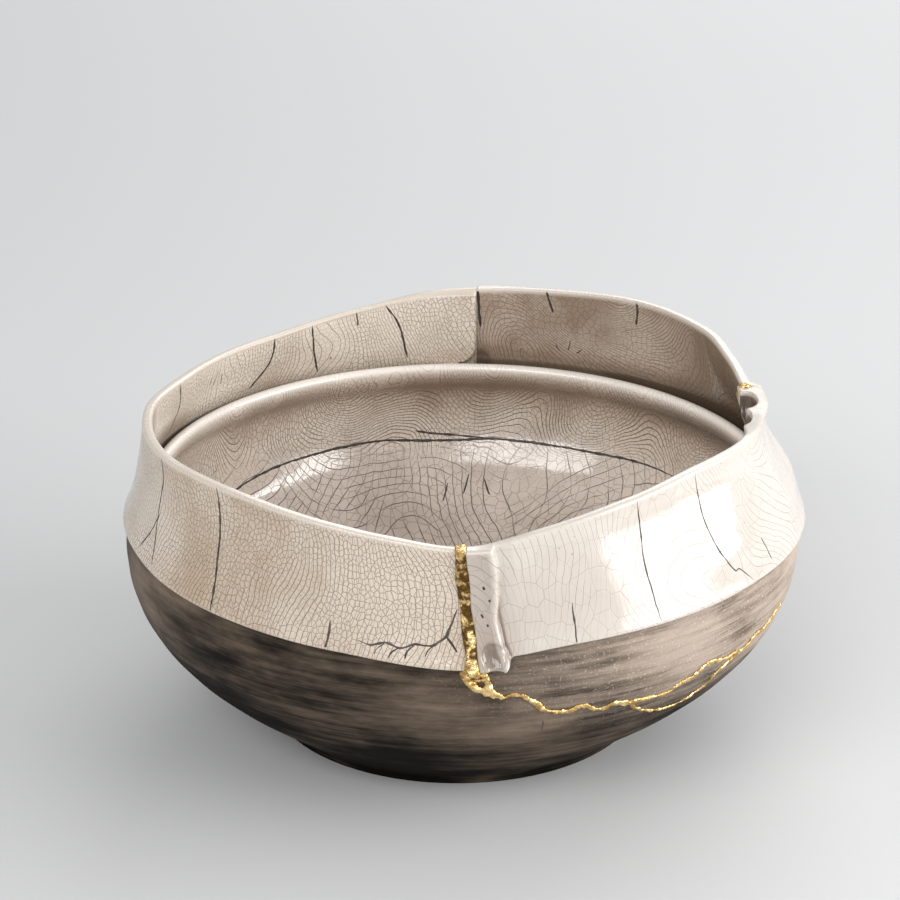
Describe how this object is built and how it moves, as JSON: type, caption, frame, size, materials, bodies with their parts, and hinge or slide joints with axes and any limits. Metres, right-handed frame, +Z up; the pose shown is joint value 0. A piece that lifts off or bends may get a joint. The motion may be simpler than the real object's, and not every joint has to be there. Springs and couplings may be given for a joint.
{
  "type": "raku bowl",
  "caption": "Wide ceramic bowl with a collar of lapped glazed slabs round a smoke-blackened belly, mended with gold seams; stands on a low turned foot.",
  "frame": {"origin": "middle of the foot, on the surface that the bowl stands on", "axes": "+Z up out of the bowl's mouth; the front, with the gold seam, looks along -Y; the rolled slab end is at +X"},
  "size_m": [0.3411, 0.3486, 0.1705],
  "materials": {
    "fired_clay": "crackled cream glaze on the collar and inside, smoke-blackened bare clay below",
    "gold": "mottled burnt gold with bright edges"
  },
  "bodies": {
    "root": {"bowl": "fired_clay", "gold_seam_front": "gold", "gold_fill_side": "gold"}
  },
  "joints": []
}
